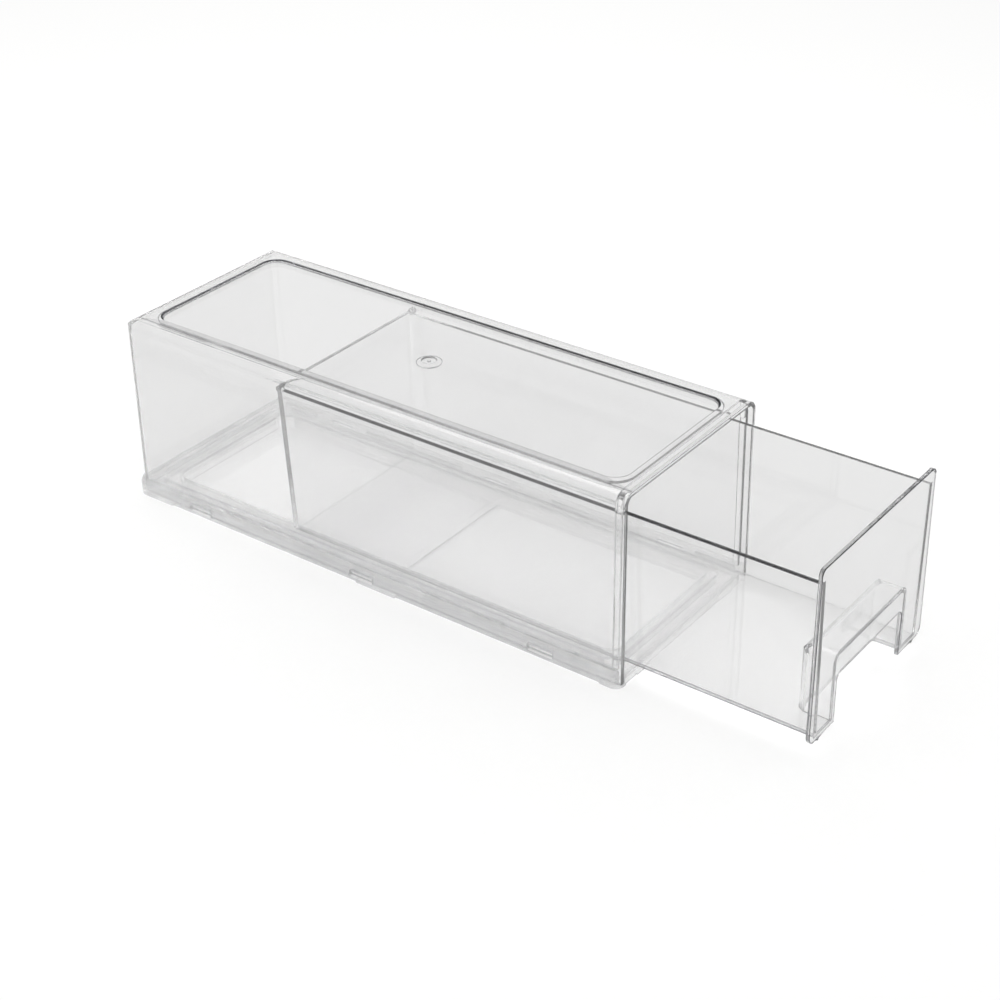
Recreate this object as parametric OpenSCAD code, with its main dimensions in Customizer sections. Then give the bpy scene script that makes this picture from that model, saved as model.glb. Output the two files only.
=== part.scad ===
// Clear stackable box with one pull-out drawer, made of three clear mouldings.
// Millimetres. X is the width, Z is up, and the drawer pulls out towards -Y.
// The origin is on the table, under the middle of the shell.

/* [Shell] */
// outer width of the shell at its top
case_w = 111.6; // [104:0.2:150]
// length of the shell from its open front to its back
case_l = 310; // [260:1:380]
// height of the shell's top above the table
case_h = 103; // [88:0.5:140]
// wall thickness of the shell
wall_t = 2.3; // [1.8:0.1:2.8]
// how much further out the shell's sides and rear are at the table
shell_draft = 1.1; // [0:0.1:1.5]
// outer radius of the long top edges and of the rear top edge
edge_r = 6.2; // [5:0.1:8]
// outer radius of the upright rear corners at the table
corner_r = 4.6; // [4.4:0.1:6]
// radius that blends the rear top corners
blend_r = 8; // [7:0.1:9]

/* [Top recess] */
// width of the flat band beside the recess
recess_side = 10.8; // [10:0.1:14]
// width of the flat band in front of the recess
recess_front = 10; // [8.5:0.1:14]
// width of the flat band behind the recess
recess_rear = 12.4; // [11:0.1:16]
// depth of the recess
recess_d = 1.6; // [0.8:0.1:2.2]
// corner radius of the recess in plan
recess_r = 9; // [5:0.5:14]
// diameter of the thick disc under the moulding gate
gate_boss_d = 12.8; // [9:0.1:18]
// height of the thick disc under the moulding gate
gate_boss_h = 0.8; // [0.4:0.1:1.5]
// diameter of the sunken dish around the gate
gate_dish_d = 7.8; // [5:0.1:8.5]
// depth of the sunken dish around the gate
gate_dish_h = 0.8; // [0.3:0.1:1.2]
// diameter of the gate's stub
gate_stub_d = 1.8; // [1:0.1:3]
// height of the gate's stub above the dish
gate_stub_h = 0.6; // [0.2:0.1:0.8]

/* [Drawer stops] */
// set-back of the stop rib from the front edge of the shell
stop_set = 2.9; // [2.9:0.1:6]
// thickness of the stop rib along the drawer's travel
stop_t = 3; // [2:0.1:4]
// how far the stop rib hangs below the top
stop_top_d = 2; // [1:0.1:4]
// how far the stop fingers stand in from the walls
stop_side_d = 2.8; // [2.4:0.1:3.2]
// how far the stop fingers reach below the underside of the top
stop_drop = 8; // [7:0.1:8.4]
// how far the low steps that stop the front panel stand in from the walls
step_d = 1.4; // [1.2:0.1:2]

/* [Snap fit] */
// length of a snap barb
barb_l = 14; // [8:0.5:20]
// how far a snap barb stands out of the wall
barb_d = 1.2; // [0.6:0.1:2]
// height of a snap barb
barb_h = 3; // [1.5:0.1:3.2]
// clearance around a snap barb in its window
barb_gap = 0.3; // [0.2:0.1:0.6]
// spacing of the snap barbs along each side
barb_pitch_side = 110; // [60:1:120]
// spacing of the snap barbs along the back
barb_pitch_rear = 30; // [26:0.5:33]
// clearance between the shell's wall and the groove that holds it
fit_gap = 0.15; // [0.1:0.05:0.3]

/* [Base] */
// how far the skirt stands outside the shell
skirt_out = 2.2; // [2:0.1:4]
// height of the skirt's upright face above the table
skirt_h = 7; // [6.6:0.1:8.5]
// height of the lip that hugs the shell
lip_h = 10; // [9:0.1:14]
// thickness of the lip at its top
lip_t = 0.7; // [0.4:0.1:1.4]
// height of the feet
foot_h = 0.8; // [0.4:0.1:1]
// height of the groove floor that the shell stands on
groove_z = 2; // [1.6:0.1:2.2]
// thickness of the locating ribs inside the shell
rib_t = 1.5; // [1:0.1:1.6]
// height of the locating ribs above the table
rib_z = 8.5; // [6.5:0.1:8.8]
// length of the locating ribs at the ends
rib_end_l = 23; // [10:1:30]
// distance of the end ribs from the ends of the shell
rib_end_in = 5; // [4:0.5:12]
// length of the locating ribs behind the middle
rib_back_l = 69; // [20:1:70]
// distance of those ribs' centre behind the middle
rib_back_y = 55.5; // [45:0.5:65]
// length of the locating ribs in front of the middle
rib_fore_l = 47; // [20:1:70]
// distance of those ribs' centre in front of the middle
rib_fore_y = 62.5; // [45:0.5:65]
// height of the border plate above the table
border_z = 5; // [4.4:0.1:5.8]
// thickness of the border plate
border_t = 1.6; // [1.2:0.1:2]
// thickness of the base's front wall
front_t = 2; // [1.4:0.1:2.6]
// height of the base's front wall above the table
front_z = 6.2; // [5.4:0.1:6.4]
// radius of the base's front corners
front_r = 5; // [1:0.1:6]

/* [Runway and floor] */
// height of the runway that carries the drawer
run_z = 9; // [8.6:0.1:10]
// wall thickness of the hollow runway
run_t = 1.6; // [1.2:0.1:2]
// distance from the shell's inner sides to the runway
run_side = 4.6; // [4:0.1:5.6]
// distance from the shell's front edge to the runway
run_front = 6.5; // [6.2:0.1:7.2]
// distance from the shell's rear face to the runway
run_rear = 5; // [4.6:0.1:7]
// clearance between the stacking ring and the recess of the unit below
stack_gap = 0.4; // [0.2:0.1:0.8]
// width of the flange inside the stacking ring at the sides
flange_side = 2.7; // [1:0.1:8]
// width of the flange inside the stacking ring at the front
flange_front = 3; // [1:0.1:8]
// thickness of that flange
flange_t = 2.2; // [1.8:0.1:3]
// thickness of the floor plate
plate_t = 1.4; // [1:0.1:1.7]
// distance of the floor plate's front edge in front of the middle
plate_fore = 12; // [4:0.5:60]
// corner radius of the open half of the floor
open_r = 4; // [1:0.1:10]

/* [Feet] */
// length of the rear corner feet
foot_rear_l = 24; // [10:1:40]
// length of the middle feet
foot_mid_l = 25; // [10:1:40]
// distance of the middle feet's centre in front of the middle
foot_mid_y = 9; // [0:0.5:30]
// length of the front corner feet
foot_fore_l = 11; // [6:0.5:30]
// length of the feet under the front wall
foot_bar_l = 11; // [6:0.5:20]
// distance of those feet's centre from the middle
foot_bar_x = 37.5; // [20:0.5:42]

/* [Drawer] */
// how far the drawer is pulled out as drawn
open_by = 96.8; // [0:0.1:180]
// clearance between the drawer and its runway
slide_gap = 0.3; // [0.3:0.05:0.8]
// clearance between the drawer's upper edges and the shell's sides
tub_side_gap = 3.2; // [3:0.1:4]
// space between the drawer's upper edges and the shell's top
tub_top_gap = 9.1; // [8.4:0.1:9.6]
// clearance between the closed drawer and the shell's back
tub_rear_gap = 1; // [0.6:0.1:6]
// how much narrower the drawer is at its floor on each side
draft_side = 1.9; // [0:0.1:4]
// how much shorter the drawer is at its floor
draft_rear = 2.1; // [0:0.1:4]
// wall thickness of the drawer
tub_t = 2; // [1.4:0.1:2.6]
// thickness of the drawer's floor
floor_t = 1.3; // [1:0.1:2.6]
// radius of the lugs that stop the drawer at the rear
lug_r = 1.8; // [1.2:0.1:2]
// how far the lugs stand out of the drawer
lug_out = 1.8; // [1.4:0.1:1.9]
// height of the lugs' centre above the drawer's upper edge
lug_up = 0.6; // [0.6:0.1:1]

/* [Front panel] */
// thickness of the front panel
panel_t = 2; // [1.6:0.1:2]
// set-back of the closed front panel from the front of the shell
panel_set = 0.6; // [0:0.1:0.6]
// clearance between the front panel and the shell's sides
panel_side_gap = 0.8; // [0.4:0.1:1]
// clearance between the front panel and the shell's top
panel_top_gap = 1.5; // [0.4:0.1:1.8]
// height of the front panel's lower edge above the table
panel_z = 7.6; // [6.9:0.1:8.6]
// radius of the front panel's upper corners
panel_top_r = 3.5; // [3.5:0.1:6]
// radius of the front panel's lower corners
panel_low_r = 5; // [1:0.1:8]
// distance of the locating nubs from the middle
nub_x = 45.3; // [40:0.1:46]
// radius of the locating nubs
nub_r = 0.9; // [0.6:0.1:0.9]
// height of the locating nubs' lower ends above the table
nub_z = 6.6; // [6.6:0.1:7.4]

/* [Finger pull] */
// width of the finger cut-out in the front panel
pull_w = 61.6; // [30:0.2:66]
// height of the finger cut-out's upper edge above the table
pull_z = 33; // [24:0.5:40]
// corner radius of the finger cut-out
pull_r = 3; // [1:0.1:8]
// outer width of the pocket behind the cut-out
pocket_w = 68.8; // [68:0.2:84]
// height of the pocket's roof above the table
pocket_z = 45.5; // [44:0.5:60]
// depth of the pocket behind the front panel
pocket_d = 15.5; // [12:0.5:30]
// wall thickness of the pocket
pocket_t = 2; // [1.4:0.1:2.6]
// outer radius of the pocket's edges
pocket_r = 5.5; // [4:0.1:8]

/* [Hidden] */
$fn = 72;
eps = 0.5; // overlap of fused features
over = 1; // overshoot of cuts
slip = 0.03; // keeps curves from only just touching flats
seat_gap = 0.1; // clearance under the shell's lower edge
barb_rise = 0.5; // height of the barbs above the shell's lower edge
step_rise = 0.5; // clearance between the locating ribs and the low steps
top_w = case_w / 2; // half width of the shell at its top
half_w = top_w + shell_draft; // half width of the shell at the table
front_y = -case_l / 2;
rear_y = case_l / 2;
in_top = case_h - wall_t; // underside of the shell's top
shell_z = groove_z + seat_gap; // lower edge of the shell
barb_z = shell_z + barb_rise; // lower edge of the barbs
recess_x = top_w - recess_side; // half width of the recess
recess_y0 = front_y + recess_front;
recess_y1 = rear_y - recess_rear;
recess_mid = (recess_y0 + recess_y1) / 2;
recess_z = case_h - recess_d; // floor of the recess
stop_y = front_y + stop_set; // front face of the stop rib
rib_out = -wall_t - 2 * fit_gap; // locating ribs, from the shell's outer face
rib_in = rib_out - rib_t;
ring_x = recess_x - stack_gap; // half width of the stacking ring
ring_y0 = recess_y0 + stack_gap;
ring_y1 = recess_y1 - stack_gap;
ring_r = recess_r - stack_gap;
run_x = half_w - wall_t - run_side; // half width of the runway's outside
run_y0 = front_y + run_front;
run_y1 = rear_y - run_rear;
open_x = ring_x - run_t - flange_side; // half width of the open half of the floor
open_y = ring_y0 + run_t + flange_front;
drawer_z = run_z + slide_gap; // underside of the drawer
panel_y = front_y + panel_set - open_by; // front face of the panel
tub_y0 = panel_y + panel_t; // back face of the panel
tub_z = in_top - tub_top_gap; // upper edge of the drawer
tub_x = in_at(tub_z) - tub_side_gap; // half width of the drawer at its upper edge
tub_y1 = rear_at(tub_z) - wall_t - tub_rear_gap - open_by; // rear of the drawer at its upper edge
panel_top = in_top - panel_top_gap;

// Outer and inner half width of the shell, and its rear, at a given height.
function half_at(z) = top_w + shell_draft * (case_h - z) / case_h;
function in_at(z) = half_at(z) - wall_t;
function rear_at(z) = rear_y - shell_draft * z / case_h;

// Rectangle between two depths with four equal round corners.
module plate_outline(x, y0, y1, r) {
    translate([-x + r, y0]) square([2 * (x - r), y1 - y0]);
    translate([-x, y0 + r]) square([2 * x, y1 - y0 - 2 * r]);
    for (cx = [-x + r, x - r], cy = [y0 + r, y1 - r]) translate([cx, cy]) circle(r);
}

// Strip that starts square at zero and ends with two round corners.
module round_end(w, l, r) {
    translate([-w / 2, 0]) square([w, l - r]);
    translate([-w / 2 + r, 0]) square([w - 2 * r, l]);
    for (cx = [-w / 2 + r, w / 2 - r]) translate([cx, l - r]) circle(r);
}

// Section of a wall that leans in by a length and has a round top edge, drawn inwards from its foot.
module wall_section(h, r, lean, deep) {
    zc = h - r;
    uc = lean * zc / h;
    intersection() {
        union() {
            polygon([[-deep, 0], [0, 0], [-uc, zc], [-deep, zc]]);
            translate([-uc - r, zc]) circle(r);
            if (deep > uc + r) translate([-deep, 0]) square([deep - uc - r, h]);
        }
        translate([-deep, 0]) square([deep, h]);
    }
}

// Block with a square front and foot. Its sides and rear lean in towards a round top edge,
// meet in round upright corners of radius c at the foot, and are blended there by a radius k.
module sleeve(w, l, h, r, c, k, lean = 0) {
    x = w / 2;
    far = 2 * (w + l);
    intersection() {
        translate([0, l + over, 0]) rotate([90, 0, 0]) linear_extrude(l + over)
            for (m = [0, 1]) mirror([m, 0]) translate([x, 0]) wall_section(h, r, lean, x + eps);
        translate([-x - over, l, 0]) rotate([90, 0, 90]) linear_extrude(w + 2 * over)
            wall_section(h, r, lean, l + over);
        union() {
            translate([-x - over, -over, -over]) cube([w + 2 * over, l - c + over, h + 2 * over]);
            translate([c - x, -over, -over]) cube([w - 2 * c, l + 2 * over, h + 2 * over]);
            for (m = [0, 1]) mirror([m, 0, 0]) translate([x - c, l - c, -over])
                cylinder(r1 = c + slip + lean * over / h, r2 = c + slip - lean * (h + over) / h,
                    h = h + 2 * over);
        }
        for (m = [0, 1]) mirror([m, 0, 0]) translate([x - c, l - c, 0]) rotate([90, 0, 45])
            translate([c + 2 * slip, 0, -far / 2]) linear_extrude(far) wall_section(h, k, lean, far);
    }
}

// Carries a section, drawn outwards from the shell's face, along both sides and the back.
module around_shell() {
    for (m = [0, 1]) mirror([m, 0, 0]) {
        translate([half_w, rear_y - corner_r, 0]) rotate([90, 0, 0])
            linear_extrude(case_l - corner_r) children();
        translate([half_w - corner_r, rear_y - corner_r, 0])
            rotate_extrude(angle = 90) translate([corner_r, 0]) children();
    }
    translate([corner_r - half_w, rear_y, 0]) rotate([90, 0, 90])
        linear_extrude(2 * (half_w - corner_r)) children();
}

// Band along both sides and the back, between two distances out from the shell's face.
module band(out, in) {
    difference() {
        translate([0, front_y]) round_end(2 * (half_w + out), case_l + out, max(corner_r + out, eps));
        translate([-half_w - in, front_y - over]) square([2 * (half_w + in), case_l + in + over]);
    }
}

// Carries a section, drawn outwards from the shell's face, to each snap, over a given length.
module at_snaps(l) {
    for (m = [0, 1], i = [-1, 0, 1]) mirror([m, 0, 0])
        translate([half_w, i * barb_pitch_side + l / 2, 0]) rotate([90, 0, 0])
            linear_extrude(l) children();
    for (i = [-1, 0, 1])
        translate([i * barb_pitch_rear - l / 2, rear_y, 0]) rotate([90, 0, 90])
            linear_extrude(l) children();
}

module shell_block() {
    translate([0, front_y, shell_z]) sleeve(2 * half_at(shell_z), rear_at(shell_z) - front_y,
        case_h - shell_z, edge_r, corner_r, blend_r, half_at(shell_z) - top_w);
}

module shell_hollow() {
    z = shell_z - over;
    translate([0, front_y - over, z]) sleeve(2 * in_at(z), rear_at(z) - wall_t - front_y + over,
        in_top - z, edge_r - wall_t, corner_r - wall_t, blend_r - wall_t, in_at(z) - in_at(in_top));
}

// Rib under the top with a finger down each side, and a low step below each finger.
module stop_rib() {
    translate([-top_w, stop_y, in_top - stop_top_d]) cube([case_w, stop_t, stop_top_d + eps]);
    finger_z = in_top - stop_drop + stop_t / 2;
    finger_x = in_at(finger_z) - stop_side_d;
    step_z = rib_z + step_rise;
    for (m = [0, 1]) mirror([m, 0, 0]) {
        translate([finger_x, stop_y, finger_z])
            cube([stop_side_d + eps, stop_t, in_top - finger_z + eps]);
        translate([finger_x, stop_y + stop_t / 2, finger_z]) rotate([0, 90, 0])
            cylinder(r = stop_t / 2, h = stop_side_d + eps);
        translate([0, stop_y + stop_t, 0]) rotate([90, 0, 0]) linear_extrude(stop_t)
            polygon([[in_at(step_z) - step_d, step_z], [in_at(step_z) + eps, step_z],
                [in_at(in_top) + eps, in_top], [in_at(in_top) - step_d, in_top]]);
    }
}

module recess_pad() {
    translate([0, 0, recess_z - wall_t]) linear_extrude(recess_d + eps)
        plate_outline(recess_x + wall_t, recess_y0 - wall_t, recess_y1 + wall_t, recess_r + wall_t);
    translate([0, recess_mid, recess_z - wall_t - gate_boss_h])
        cylinder(d = gate_boss_d, h = gate_boss_h + eps);
}

module casing_shell() color([0.88, 0.93, 0.95, 0.4]) {
    difference() {
        union() {
            difference() {
                shell_block();
                shell_hollow();
            }
            intersection() {
                shell_block();
                union() {
                    recess_pad();
                    stop_rib();
                }
            }
            at_snaps(barb_l) polygon([[-eps, barb_z], [0, barb_z],
                [barb_d, barb_z + barb_h], [-eps, barb_z + barb_h]]);
        }
        translate([0, 0, recess_z]) linear_extrude(recess_d + over)
            plate_outline(recess_x, recess_y0, recess_y1, recess_r);
        translate([0, recess_mid, recess_z - gate_dish_h])
            cylinder(d = gate_dish_d, h = gate_dish_h + over);
    }
    translate([0, recess_mid, recess_z - gate_dish_h - eps])
        cylinder(d = gate_stub_d, h = gate_stub_h + eps);
}

// Skirt with its lip, groove floor for the shell and low locating wall inside the shell.
module skirt() {
    around_shell() polygon([[fit_gap, foot_h], [skirt_out, foot_h], [skirt_out, skirt_h],
        [fit_gap + lip_t, lip_h], [fit_gap, lip_h]]);
    translate([0, 0, foot_h]) {
        linear_extrude(groove_z - foot_h) band(fit_gap + eps, rib_in);
        linear_extrude(border_z - foot_h) band(rib_out, rib_in);
    }
}

module locating_ribs() {
    spans = [[rear_y - rib_end_in - rib_end_l, rib_end_l], [rib_back_y - rib_back_l / 2, rib_back_l],
        [-rib_fore_y - rib_fore_l / 2, rib_fore_l], [front_y + rib_end_in, rib_end_l]];
    for (m = [0, 1], s = spans) mirror([m, 0, 0])
        translate([half_w + rib_in, s[0], border_z - eps]) cube([rib_t, s[1], rib_z - border_z + eps]);
}

// Plate between the skirt and the runway, with the upright front wall.
module border() {
    x = half_w + rib_in + eps;
    translate([0, 0, border_z - border_t]) linear_extrude(border_t) difference() {
        translate([-x, front_y]) square([2 * x, rear_y + rib_in + eps - front_y]);
        plate_outline(run_x - run_t / 2, run_y0 + run_t / 2, run_y1 - run_t / 2, ring_r);
    }
    translate([-x, front_y, foot_h]) cube([2 * x, front_t, front_z - foot_h]);
}

// Hollow runway: an outer web, a flat top and the stacking ring as its inner web.
module runway() {
    translate([0, 0, border_z - border_t]) linear_extrude(run_z - border_z + border_t) difference() {
        plate_outline(run_x, run_y0, run_y1, ring_r + run_t);
        plate_outline(run_x - run_t, run_y0 + run_t, run_y1 - run_t, ring_r);
    }
    translate([0, 0, run_z - run_t]) linear_extrude(run_t) difference() {
        plate_outline(run_x - run_t / 2, run_y0 + run_t / 2, run_y1 - run_t / 2, ring_r);
        plate_outline(ring_x - run_t, ring_y0 + run_t, ring_y1 - run_t, ring_r - run_t);
    }
    linear_extrude(run_z) difference() {
        plate_outline(ring_x, ring_y0, ring_y1, ring_r);
        plate_outline(ring_x - run_t, ring_y0 + run_t, ring_y1 - run_t, ring_r - run_t);
    }
}

// Floor inside the stacking ring: a thin plate at the rear and an open half at the front.
module half_floor() {
    difference() {
        linear_extrude(flange_t)
            plate_outline(ring_x - eps, ring_y0 + eps, ring_y1 - eps, ring_r - eps);
        translate([0, 0, -over]) linear_extrude(flange_t + 2 * over)
            plate_outline(open_x, open_y, -plate_fore, open_r);
        translate([-open_x, -plate_fore - eps, plate_t])
            cube([2 * open_x, ring_y1 - run_t + plate_fore + eps, flange_t]);
    }
}

module feet() {
    x = half_w + rib_in;
    w = skirt_out - rib_in;
    for (m = [0, 1]) mirror([m, 0, 0]) {
        translate([x, rear_y - foot_rear_l, 0]) cube([w, foot_rear_l + skirt_out, foot_h + eps]);
        translate([x, -foot_mid_y - foot_mid_l / 2, 0]) cube([w, foot_mid_l, foot_h + eps]);
        translate([x, front_y, 0]) cube([w, foot_fore_l, foot_h + eps]);
        translate([foot_bar_x - foot_bar_l / 2, front_y, 0]) cube([foot_bar_l, front_t, foot_h + eps]);
    }
}

module base_tray() color([0.85, 0.9, 0.93, 0.5]) {
    x = half_w + skirt_out;
    difference() {
        intersection() {
            union() {
                skirt();
                locating_ribs();
                border();
                feet();
            }
            linear_extrude(lip_h + over) translate([0, front_y])
                round_end(2 * x, case_l + skirt_out, corner_r + skirt_out);
            linear_extrude(lip_h + over) plate_outline(x, front_y, rear_y + skirt_out, front_r);
        }
        at_snaps(barb_l + 2 * barb_gap) translate([fit_gap / 2, barb_z - barb_gap])
            square([skirt_out, barb_h + 2 * barb_gap]);
    }
    runway();
    half_floor();
}

// Half width and rear of the drawer's sloping walls at a given height.
function slope(z) = (tub_z - z) / (tub_z - drawer_z);
function tub_half(z) = tub_x - draft_side * slope(z);
function tub_rear(z) = tub_y1 - draft_rear * slope(z);

// Block between two heights with the drawer's sloping sides and back, taken in by a wall.
module tub_block(t, z0, z1, y0) {
    far = tub_rear(z1) - t;
    wide = tub_half(z1) - t;
    near = tub_half(z0) - t;
    intersection() {
        translate([0, far, 0]) rotate([90, 0, 0]) linear_extrude(far - y0)
            polygon([[-near, z0], [near, z0], [wide, z1], [-wide, z1]]);
        translate([-wide, 0, 0]) rotate([90, 0, 90]) linear_extrude(2 * wide)
            polygon([[y0, z0], [tub_rear(z0) - t, z0], [far, z1], [y0, z1]]);
    }
}

module tub() {
    difference() {
        tub_block(0, drawer_z, tub_z, tub_y0 - eps);
        tub_block(tub_t, drawer_z + floor_t, tub_z + over, tub_y0 - 2 * eps);
    }
}

// Outline of the front panel, with its sides parallel to the shell's.
module panel_outline() {
    zt = panel_top - panel_top_r;
    zl = panel_z + panel_low_r;
    xt = in_at(zt) - panel_side_gap;
    xl = in_at(zl) - panel_side_gap;
    polygon([[-xl, zl], [xl, zl], [xt, zt], [-xt, zt]]);
    translate([panel_top_r - xt, zl]) square([2 * (xt - panel_top_r), panel_top - zl]);
    translate([panel_low_r - xl, panel_z]) square([2 * (xl - panel_low_r), zt - panel_z]);
    for (m = [-1, 1]) {
        translate([m * (xt - panel_top_r), zt]) circle(panel_top_r);
        translate([m * (xl - panel_low_r), zl]) circle(panel_low_r);
    }
}

module front_panel() {
    translate([0, tub_y0, 0]) rotate([90, 0, 0]) linear_extrude(panel_t) difference() {
        panel_outline();
        translate([0, panel_z - over]) round_end(pull_w, pull_z - panel_z + over, pull_r);
    }
}

module drawer_tray() color([0.9, 0.94, 0.95, 0.4]) {
    difference() {
        union() {
            tub();
            translate([0, tub_y0 - eps, drawer_z])
                sleeve(pocket_w, pocket_d + eps, pocket_z - drawer_z, pocket_r, pocket_r, pocket_r);
        }
        translate([0, tub_y0 - over, drawer_z - over])
            sleeve(pocket_w - 2 * pocket_t, pocket_d - pocket_t + over,
                pocket_z - pocket_t - drawer_z + over, pocket_r - pocket_t, pocket_r - pocket_t,
                pocket_r - pocket_t);
    }
    front_panel();
    for (m = [0, 1]) mirror([m, 0, 0]) {
        translate([tub_x - tub_t / 2, tub_y1 - lug_r - tub_t / 2, tub_z + lug_up]) rotate([0, 90, 0])
            cylinder(r = lug_r, h = lug_out + tub_t / 2);
        translate([nub_x, panel_y + panel_t / 2, nub_z]) cylinder(r = nub_r, h = panel_z - nub_z + eps);
    }
}

casing_shell();
base_tray();
drawer_tray();
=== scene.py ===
"""Clear pull-out drawer organizer: the looks of its three mouldings and the studio around them."""

import math

import bmesh
import bpy
import numpy as np
from mathutils import Matrix, Vector


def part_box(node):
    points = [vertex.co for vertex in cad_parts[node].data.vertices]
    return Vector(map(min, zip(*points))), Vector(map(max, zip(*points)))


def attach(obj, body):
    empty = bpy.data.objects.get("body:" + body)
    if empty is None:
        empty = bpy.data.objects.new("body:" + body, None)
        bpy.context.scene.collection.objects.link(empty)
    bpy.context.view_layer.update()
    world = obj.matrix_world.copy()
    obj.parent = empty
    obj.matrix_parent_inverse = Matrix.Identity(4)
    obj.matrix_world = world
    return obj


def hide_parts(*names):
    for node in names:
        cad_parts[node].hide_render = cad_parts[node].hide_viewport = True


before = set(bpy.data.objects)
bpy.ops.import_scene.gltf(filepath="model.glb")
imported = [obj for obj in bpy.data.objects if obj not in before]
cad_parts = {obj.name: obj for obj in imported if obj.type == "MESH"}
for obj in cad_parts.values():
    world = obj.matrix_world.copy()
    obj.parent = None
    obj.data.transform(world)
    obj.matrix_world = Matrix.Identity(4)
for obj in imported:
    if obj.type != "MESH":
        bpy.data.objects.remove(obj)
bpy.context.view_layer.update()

SAME_POINT, SLIVER = 2e-6, 3e-5
FLAT_FOLD, SHARP_FOLD = math.radians(0.3), math.radians(32)
EDGE_STEPS = 3
BOUNCES, GLOSSY_BOUNCES = 160, 20

bl_info = {
    "name": "Clear drawer organizer",
    "version": (1, 0, 0),
    "blender": (4, 5, 0),
    "location": "3D View > Sidebar > Organizer",
    "description": "Dresses the shell, base and drawer in clear plastic and sets the studio",
    "category": "Object",
}


class Signal:
    """A shader socket: sums and products of signals and numbers add their Math nodes."""

    def __init__(self, tree, socket=None):
        self.tree, self.socket = tree, socket

    def node(self, kind, settings=None, sockets=None, out=0):
        """Adds a node of this type, sets its settings, then the values or links of its sockets."""
        made = self.tree.nodes.new("ShaderNode" + kind)
        for name, value in (settings or {}).items():
            if name == "stops":
                ramp = made.color_ramp
                while len(ramp.elements) < len(value):
                    ramp.elements.new(0.5)
                for element, (place, shade) in zip(ramp.elements, value):
                    element.position, element.color = place, (*shade, 1)
            else:
                setattr(made, name, value)
        for name, value in (sockets or {}).items():
            if isinstance(value, Signal):
                self.tree.links.new(value.socket, made.inputs[name])
            else:
                made.inputs[name].default_value = value
        return Signal(self.tree, made.outputs[out])

    def math(self, operation, a, b=0.0):
        """One Math node on two numbers or signals."""
        return self.node("Math", {"operation": operation}, {0: a, 1: b})

    def __add__(self, other): return self.math("ADD", self, other)
    def __radd__(self, other): return self.math("ADD", other, self)
    def __sub__(self, other): return self.math("SUBTRACT", self, other)
    def __rsub__(self, other): return self.math("SUBTRACT", other, self)
    def __mul__(self, other): return self.math("MULTIPLY", self, other)
    def __rmul__(self, other): return self.math("MULTIPLY", other, self)
    def __truediv__(self, other): return self.math("DIVIDE", self, other)
    def __pow__(self, other): return self.math("POWER", self, other)


class PlasticSettings(bpy.types.PropertyGroup):
    """Finish of the clear mouldings."""
    tint: bpy.props.FloatVectorProperty(name="Tint", description="Colour that the plastic lets through",
        subtype="COLOR", size=3, min=0, max=1, default=(0.9945, 0.9945, 0.996))
    index: bpy.props.FloatProperty(name="Refractive index", description="How strongly the plastic bends light",
        min=1.3, max=1.8, default=1.54)
    gloss_loss: bpy.props.FloatProperty(name="Roughness", description="Roughness of a clean polished face",
        min=0, max=0.5, default=0.015)
    edge: bpy.props.FloatProperty(name="Edge radius", description="Radius of the moulded edges",
        unit="LENGTH", min=0.00005, max=0.001, default=0.00028)


class StudioSettings(bpy.types.PropertyGroup):
    """Floor, light and camera."""
    floor: bpy.props.FloatVectorProperty(name="Floor", description="Colour of the floor",
        subtype="COLOR", size=3, min=0, max=1, default=(0.82, 0.82, 0.818))
    lens: bpy.props.FloatProperty(name="Lens", description="Focal length of the camera",
        unit="CAMERA", min=20, max=200, default=71.4)


def rounded_copy(node, name, radius, soft):
    """Copies a solid's mesh, joins its flat faces and rounds its edges.

    An edge e with middle m(e) and fold a(e) gets the radius r(e) = 0 where a(e) is under 32 degrees,
    else the radius of the last named zone (low, high, radius) of soft with low <= m(e) <= high, else radius.
    """
    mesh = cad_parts[node].data.copy()
    mesh.name = name
    mesh.materials.clear()
    shape = bmesh.new()
    shape.from_mesh(mesh)
    bmesh.ops.remove_doubles(shape, verts=shape.verts, dist=SAME_POINT)
    bmesh.ops.dissolve_degenerate(shape, dist=SLIVER, edges=shape.edges)
    bmesh.ops.dissolve_limit(shape, angle_limit=FLAT_FOLD, verts=shape.verts, edges=shape.edges)
    bmesh.ops.connect_verts_concave(shape, faces=[face for face in shape.faces if len(face.verts) > 4])
    shape.edges.index_update()
    fold = np.array([edge.calc_face_angle(0.0) for edge in shape.edges])
    middle = np.array([(edge.verts[0].co + edge.verts[1].co) / 2 for edge in shape.edges])
    shape.to_mesh(mesh)
    shape.free()
    width = np.full(len(fold), radius)
    for low, high, wide in soft.values():
        width[np.all((middle >= low) & (middle <= high), axis=1)] = wide
    width[fold < SHARP_FOLD] = 0
    mesh.attributes.new("bevel_weight_edge", "FLOAT", "EDGE").data.foreach_set("value", width / width.max())
    mesh.shade_smooth()
    piece = bpy.data.objects.new(name, mesh)
    bpy.context.scene.collection.objects.link(piece)
    bevel = piece.modifiers.new("Moulded edges", "BEVEL")
    bevel.width, bevel.segments, bevel.limit_method = width.max(), EDGE_STEPS, "WEIGHT"
    bevel.use_clamp_overlap, bevel.material = False, 1
    even = piece.modifiers.new("Flat faces", "WEIGHTED_NORMAL")
    even.mode, even.weight = "FACE_AREA", 100
    return piece


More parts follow.
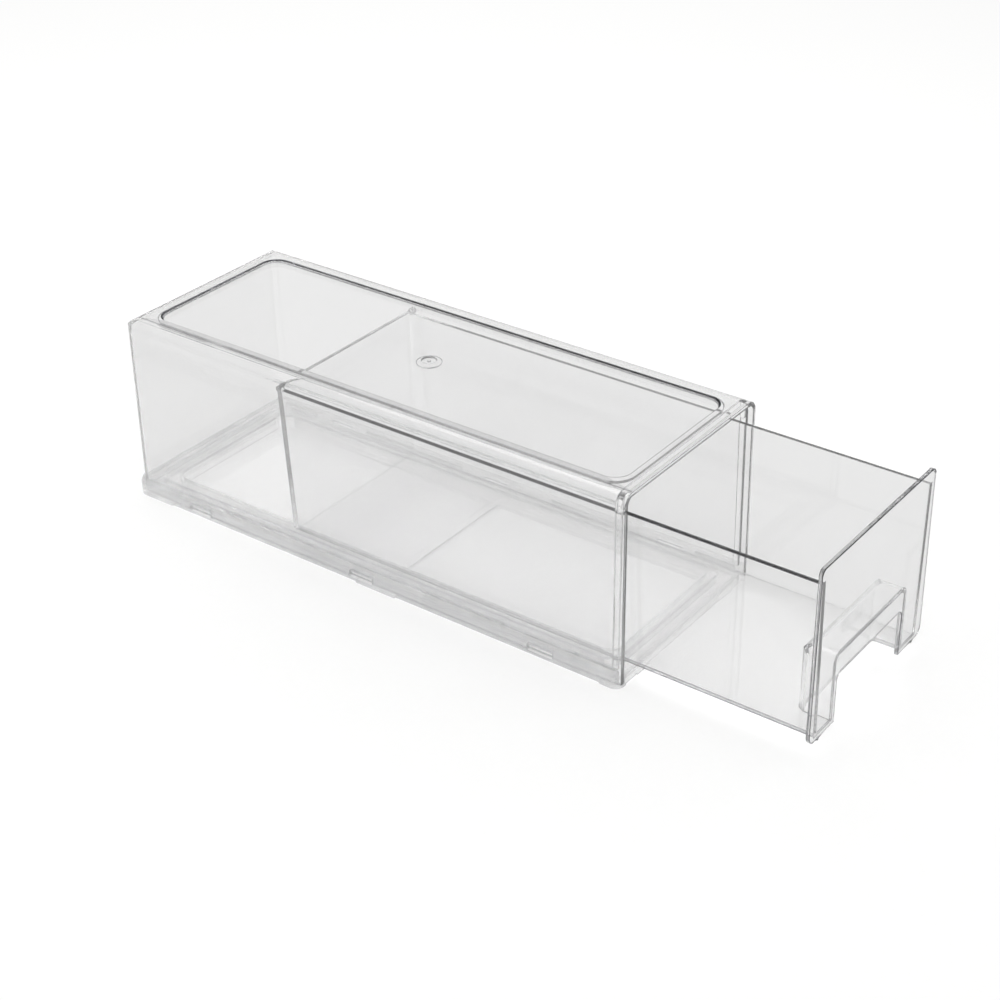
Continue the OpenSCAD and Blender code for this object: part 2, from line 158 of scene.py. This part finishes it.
def keep_inside(piece, node):
    """Applies a piece's modifiers and brings points that they put outside the solid's box back to it."""
    bpy.context.view_layer.update()
    worked = bpy.context.evaluated_depsgraph_get()
    done = bpy.data.meshes.new_from_object(piece.evaluated_get(worked), preserve_all_data_layers=True,
        depsgraph=worked)
    done.name = piece.name
    spots = np.empty(len(done.vertices) * 3)
    done.vertices.foreach_get("co", spots)
    low, high = (np.array(corner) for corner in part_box(node))
    done.vertices.foreach_set("co", np.clip(spots.reshape(-1, 3), low, high).ravel())
    piece.modifiers.clear()
    piece.data = done


def mark_faces(piece, name, zones, only=None):
    """Writes a share for each face: that of the last named zone (low, high, share) with its centre, else 0.

    With only, which is 1 for edge faces and 0 for others, a zone holds edge faces alone, unless it ends in True.
    """
    centres = np.empty(len(piece.data.polygons) * 3)
    piece.data.polygons.foreach_get("center", centres)
    centres = centres.reshape(-1, 3)
    share = np.zeros(len(centres))
    for low, high, most, *whole in zones.values():
        held = np.all((centres >= low) & (centres <= high), axis=1)
        share[held] = most if whole or only is None else most * only[held]
    piece.data.attributes.new(name, "FLOAT", "FACE").data.foreach_set("value", share)


def clear_plastic(name, settings, drift):
    """Clear moulded plastic: faint ripple of the faces, fine scuffs in the gloss and a barely uneven tint.

    The share pale lets light straight through a face, and the edge share mixes in a dark grey see-through colour:
    painted shade standing for the dark lines along edges.
    """
    made = bpy.data.materials.new(name)
    made.use_nodes = True
    tree = made.node_tree
    tree.nodes.clear()
    start = Signal(tree)
    place = start.node("TexCoord", out="Object")
    moved = start.node("Mapping", sockets={"Vector": place, "Location": (drift, drift * 0.7, 0)})
    ripple = start.node("TexNoise", sockets={"Vector": moved, "Scale": 22.0, "Detail": 1.0})
    scuff = start.node("TexNoise", sockets={"Vector": moved, "Scale": 900.0, "Detail": 4.0, "Roughness": 0.7})
    worn = start.math("MAXIMUM", scuff - 0.55, 0.0)
    cloud = start.node("TexNoise", sockets={"Vector": moved, "Scale": 9.0, "Detail": 2.0})
    tint = settings.tint
    stops = [(0.3, [c * 0.99 for c in tint]), (0.7, list(tint))]
    shade = start.node("ValToRGB", {"stops": stops}, {"Fac": cloud})
    bump = start.node("Bump", sockets={"Strength": 0.012, "Distance": 0.0003, "Height": ripple})
    plastic = start.node("BsdfPrincipled", sockets={"Base Color": shade, "Transmission Weight": 0.98,
        "IOR": settings.index, "Roughness": settings.gloss_loss + worn * 0.12, "Normal": bump})
    pale = start.node("Attribute", {"attribute_name": "pale"}, out="Fac")
    # painted shade: per-face share of the dark edge lines
    line = start.node("Attribute", {"attribute_name": "line"}, out="Fac")
    clear = start.node("BsdfTransparent", sockets={"Color": (0.985, 0.985, 0.985, 1)})
    # painted shade: dark grey see-through colour for the edge lines
    grey = start.node("BsdfTransparent", sockets={"Color": (0.2, 0.2, 0.22, 1)})
    thin = start.node("MixShader", sockets={"Fac": pale, 1: plastic, 2: clear})
    drawn = start.node("MixShader", sockets={"Fac": line, 1: thin, 2: grey})
    lit = start.node("LightPath", out="Is Shadow Ray")
    haze = start.node("BsdfTransparent", sockets={"Color": (0.982, 0.982, 0.982, 1)})
    mixed = start.node("MixShader", sockets={"Fac": lit, 1: drawn, 2: haze})
    out = tree.nodes.new("ShaderNodeOutputMaterial")
    tree.links.new(mixed.socket, out.inputs["Surface"])
    return made


def dress(node, name, body, drift, soft, pale, line):
    """Puts a rounded clear copy of a solid on its body in place of the solid.

    The material is held twice while edges are rounded, so that the second place tells the edge faces.
    """
    plastic = bpy.context.scene.organizer_plastic
    piece = rounded_copy(node, name, plastic.edge, soft)
    made = clear_plastic(name + "_clear", plastic, drift)
    piece.data.materials.append(made)
    piece.data.materials.append(made)
    keep_inside(piece, node)
    edges = np.empty(len(piece.data.polygons), dtype=np.int32)
    piece.data.polygons.foreach_get("material_index", edges)
    piece.data.polygons.foreach_set("material_index", np.zeros_like(edges))
    piece.data.materials.pop(index=1)
    mark_faces(piece, "pale", pale)
    # painted shade: writes the shares of the dark edge lines onto the faces
    mark_faces(piece, "line", line, edges)
    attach(piece, body)
    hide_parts(node)


class DressShell(bpy.types.Operator):
    """Clear shell with its recessed top, stops and snap barbs"""
    bl_idname, bl_label = "organizer.shell", "Shell"

    def execute(self, context):
        soft = {
            "recess": ((-0.0465, -0.1450, 0.1010), (0.0465, 0.1490, 0.1031), 0.0006),
            "recess rim, left": ((-0.0465, -0.1450, 0.1025), (-0.0420, 0.1490, 0.1031), 0.0010),
            "recess rim, front": ((-0.0465, -0.1450, 0.1025), (0.0465, -0.1385, 0.1031), 0.0008),
            "gate": ((-0.0120, -0.0100, 0.0980), (0.0120, 0.0200, 0.1031), 0.0002),
        }
        pale = {"rear wall": ((-0.0600, 0.1490, 0.0000), (0.0600, 0.1600, 0.1040), 0.08)}
        # Painted shade: shares of the dark grey edge lines, heavier along the left side
        line = {
            "every edge": ((-0.0600, -0.1600, 0.0000), (0.0600, 0.1600, 0.1040), 0.4),
            "foot": ((-0.0600, -0.1600, 0.0000), (0.0600, 0.1600, 0.0120), 0.15),
            "rear": ((-0.0600, 0.1400, 0.0000), (0.0600, 0.1600, 0.1000), 0.1),
            "mouth, left": ((-0.0600, -0.1600, 0.0000), (-0.0480, -0.1530, 0.1000), 1.0),
            "mouth, outer left": ((-0.0600, -0.1600, 0.0000), (-0.0555, -0.1530, 0.1000), 0.6),
            "stop, left": ((-0.0600, -0.1530, 0.0120), (-0.0480, -0.1480, 0.0930), 0.1),
            "mouth, top": ((-0.0500, -0.1600, 0.0960), (0.0600, -0.1490, 0.1040), 0.15),
            "recess rim": ((-0.0465, -0.1460, 0.10225), (0.0465, 0.1490, 0.1040), 1.0),
            "recess floor": ((-0.0465, -0.1460, 0.1010), (0.0465, 0.1490, 0.10215), 0.3),
            "recess floor, left": ((-0.0465, -0.1460, 0.1010), (-0.0430, 0.1490, 0.10215), 0.9),
            # Painted shade on flat faces: darker strips along the left of the top, standing for an underside step
            # that the solid lacks
            "flat band, left": ((-0.0490, -0.0100, 0.10295), (-0.0460, 0.0100, 0.1031), 0.16, True),
            "start of the left rounding": ((-0.0506, -0.0700, 0.10290), (-0.0497, 0.0700, 0.1031), 0.5, True),
            "gate": ((-0.0120, -0.0100, 0.0980), (0.0120, 0.0200, 0.1031), 0.3),
        }
        dress("casing_shell", "shell", "casing", 0.0, soft, pale, line)
        return {"FINISHED"}


class DressBase(bpy.types.Operator):
    """Clear base with its skirt, runway, half floor and feet"""
    bl_idname, bl_label = "organizer.base", "Base"

    def execute(self, context):
        whole = (-0.07, -0.17, -0.01), (0.07, 0.17, 0.02)
        right = (0.03, -0.17, -0.01), (0.07, 0.17, 0.02)
        pale = {
            "whole": (*whole, 0.45),
            "right": (*right, 0.7),
            "half floor": ((-0.04, -0.01, -0.01), (0.04, 0.15, 0.002), 0.8),
        }
        # Painted shade: shares of the dark grey edge lines
        line = {
            "whole": (*whole, 0.22),
            "right": (*right, 0.1),
            "half floor's front edge": ((-0.0400, -0.0160, -0.0100), (0.0400, -0.0110, 0.0200), 1.0),
        }
        dress("base_tray", "base", "casing", 0.37, {}, pale, line)
        return {"FINISHED"}


class DressDrawer(bpy.types.Operator):
    """Clear drawer with its front panel, finger pocket and lugs"""
    bl_idname, bl_label = "organizer.drawer", "Drawer"

    def execute(self, context):
        soft = {
            "rim": ((-0.0506, -0.2491, 0.0911), (0.0506, 0.0545, 0.0921), 0.0004),
            "rim, left": ((-0.0506, -0.2491, 0.0911), (-0.0470, 0.0480, 0.0921), 0.00092),
            "foot": ((-0.0506, -0.2480, 0.0088), (0.0506, 0.0545, 0.0097), 0.0010),
            "floor": ((-0.0506, -0.2480, 0.0102), (0.0506, 0.0545, 0.0111), 0.0006),
            "rear posts": ((-0.0506, 0.0480, 0.0120), (0.0506, 0.0545, 0.0900), 0.0003),
            "panel, front": ((-0.0600, -0.2513, 0.0000), (0.0600, -0.2488, 0.1000), 0.0004),
            "pocket": ((-0.0345, -0.2515, 0.0000), (0.0345, -0.2330, 0.0480), 0.0003),
        }
        pale = {
            "floor": ((-0.0600, -0.2480, 0.0000), (0.0600, 0.0600, 0.0112), 0.18),
            "rear wall": ((-0.0600, 0.0485, 0.0000), (0.0600, 0.0600, 0.0930), 0.03),
            "rear wall, foot": ((-0.0440, 0.0465, 0.0000), (0.0600, 0.0600, 0.0125), 0.95),
            "rear post, right": ((0.0440, 0.0470, 0.0120), (0.0600, 0.0600, 0.0900), 0.9),
        }
        # Painted shade: shares of the dark grey edge lines, heavier on the left side than on the right
        line = {
            "every edge": ((-0.0600, -0.2600, 0.0000), (0.0600, 0.0600, 0.1000), 0.6),
            "pocket": ((-0.0345, -0.2600, 0.0000), (0.0345, -0.2330, 0.0480), 0.8),
            "panel, top": ((-0.0600, -0.2600, 0.0960), (0.0600, -0.2480, 0.1000), 0.9),
            "rim, left": ((-0.0600, -0.2480, 0.0900), (-0.0400, 0.0600, 0.0930), 0.6),
            "rim, outer left": ((-0.0600, -0.2480, 0.0900), (-0.0500, 0.0600, 0.0914), 0.9),
            "rim, right": ((0.0400, -0.2480, 0.0900), (0.0600, 0.0600, 0.0930), 0.15),
            "rim, rear": ((-0.0600, 0.0470, 0.0900), (0.0600, 0.0600, 0.0930), 0.4),
            "rear post, left": ((-0.0600, 0.0470, 0.0100), (-0.0400, 0.0600, 0.0900), 0.9),
            "rear post, right": ((0.0400, 0.0470, 0.0000), (0.0600, 0.0600, 0.0900), 0.0),
            "foot, left": ((-0.0600, -0.2480, 0.0000), (-0.0400, 0.0470, 0.0120), 1.0),
            "foot, other sides": ((-0.0400, -0.2330, 0.0000), (0.0600, 0.0600, 0.0120), 0.05),
        }
        dress("drawer_tray", "drawer", "drawer", 0.81, soft, pale, line)
        return {"FINISHED"}


def studio_world():
    """White to the eye, pale grey in the plastic, and an even dome of light for the floor."""
    world = bpy.data.worlds.new("studio")
    bpy.context.scene.world = world
    world.use_nodes = True
    tree = world.node_tree
    tree.nodes.clear()
    start = Signal(tree)
    seen = start.node("LightPath", out="Is Camera Ray")
    glossy = start.node("LightPath", out="Is Glossy Ray")
    through = start.node("LightPath", out="Is Transmission Ray")
    shown = start.math("MAXIMUM", glossy, through)
    in_plastic, on_floor = 0.84, 0.67
    strength = seen + (1 - seen) * (shown * in_plastic + (1 - shown) * on_floor)
    light = start.node("Background", sockets={"Color": (1, 0.999, 0.996, 1), "Strength": strength})
    out = tree.nodes.new("ShaderNodeOutputWorld")
    tree.links.new(light.socket, out.inputs["Surface"])


def floor_material(colour):
    """Pale matt floor that the camera sees as white, with the object's shadow kept."""
    made = bpy.data.materials.new("floor")
    made.use_nodes = True
    tree = made.node_tree
    tree.nodes.clear()
    start = Signal(tree)
    place = start.node("TexCoord", out="Object")
    grain = start.node("TexNoise", sockets={"Vector": place, "Scale": 400.0, "Detail": 2.0})
    stops = [(0.4, [c * 0.995 for c in colour]), (0.6, list(colour))]
    shade = start.node("ValToRGB", {"stops": stops}, {"Fac": grain})
    matt = start.node("BsdfDiffuse", sockets={"Color": shade})
    seen = start.node("LightPath", out="Is Camera Ray")
    glow = start.node("Emission", sockets={"Color": (1, 1, 1, 1), "Strength": seen * 0.18})
    both = start.node("AddShader", sockets={0: matt, 1: glow})
    out = tree.nodes.new("ShaderNodeOutputMaterial")
    tree.links.new(both.socket, out.inputs["Surface"])
    return made


def area_lamp(name, place, aim, size, power):
    """Soft square lamp at a place, facing a point."""
    lamp = bpy.data.lights.new(name, "AREA")
    lamp.shape, lamp.size, lamp.energy = "SQUARE", size, power
    held = bpy.data.objects.new(name, lamp)
    held.location = place
    held.rotation_euler = (Vector(aim) - Vector(place)).to_track_quat("-Z", "Y").to_euler()
    bpy.context.scene.collection.objects.link(held)


class SetStage(bpy.types.Operator):
    """Floor, soft light and the camera at the photograph's angle"""
    bl_idname, bl_label = "organizer.stage", "Stage"

    def execute(self, context):
        studio = context.scene.organizer_studio
        context.scene.view_settings.view_transform = "Standard"
        cycles = context.scene.cycles
        cycles.max_bounces, cycles.glossy_bounces = BOUNCES, GLOSSY_BOUNCES
        cycles.transmission_bounces = cycles.transparent_max_bounces = BOUNCES
        studio_world()
        reach, low = 6.0, -0.0003
        floor = bpy.data.meshes.new("floor")
        corners = [(-reach, -reach, low), (reach, -reach, low), (reach, reach, low), (-reach, reach, low)]
        floor.from_pydata(corners, [], [(0, 1, 2, 3)])
        floor.materials.append(floor_material(studio.floor))
        ground = bpy.data.objects.new("floor", floor)
        context.scene.collection.objects.link(ground)
        area_lamp("overhead", (0.1, 0.2, 1.8), (0, -0.05, 0), 1.6, 16.0)
        lens = bpy.data.cameras.new("photo_camera")
        lens.sensor_width, lens.lens = 36.0, studio.lens
        lens.shift_x, lens.shift_y = -0.0571, -0.0073
        lens.clip_start, lens.clip_end = 0.01, 50
        aim, distance = Vector((0.10972, 0, -0.02955)), 1.1238
        turn, lift, roll = math.radians(-54.415), math.radians(31.029), math.radians(-0.285)
        back = Vector((math.sin(turn) * math.cos(lift), -math.cos(turn) * math.cos(lift), math.sin(lift)))
        right = Vector((0, 0, 1)).cross(back).normalized()
        up = back.cross(right)
        across = math.cos(roll) * right + math.sin(roll) * up
        upward = math.cos(roll) * up - math.sin(roll) * right
        view = bpy.data.objects.new("photo_camera", lens)
        facing = Matrix((across, upward, back)).transposed().to_4x4()
        view.matrix_world = Matrix.Translation(aim + back * distance) @ facing
        context.scene.collection.objects.link(view)
        context.scene.camera = view
        return {"FINISHED"}


class OrganizerPanel(bpy.types.Panel):
    """Lists the mouldings, their finish and the stage"""
    bl_idname, bl_label = "VIEW3D_PT_organizer", "Drawer organizer"
    bl_space_type, bl_region_type, bl_category = "VIEW_3D", "UI", "Organizer"

    def draw(self, context):
        for group in (context.scene.organizer_plastic, context.scene.organizer_studio):
            for name in group.__annotations__:
                self.layout.prop(group, name)
        for operator in OPERATORS:
            self.layout.operator(operator.bl_idname)


OPERATORS = (DressShell, DressBase, DressDrawer, SetStage)
CLASSES = (PlasticSettings, StudioSettings, *OPERATORS, OrganizerPanel)


def register():
    for kind in CLASSES:
        bpy.utils.register_class(kind)
    bpy.types.Scene.organizer_plastic = bpy.props.PointerProperty(type=PlasticSettings)
    bpy.types.Scene.organizer_studio = bpy.props.PointerProperty(type=StudioSettings)


def unregister():
    del bpy.types.Scene.organizer_studio
    del bpy.types.Scene.organizer_plastic
    for kind in reversed(CLASSES):
        bpy.utils.unregister_class(kind)


def main():
    register()
    bpy.ops.organizer.shell()
    bpy.ops.organizer.base()
    bpy.ops.organizer.drawer()
    bpy.ops.organizer.stage()


if __name__ == "__main__":
    main()
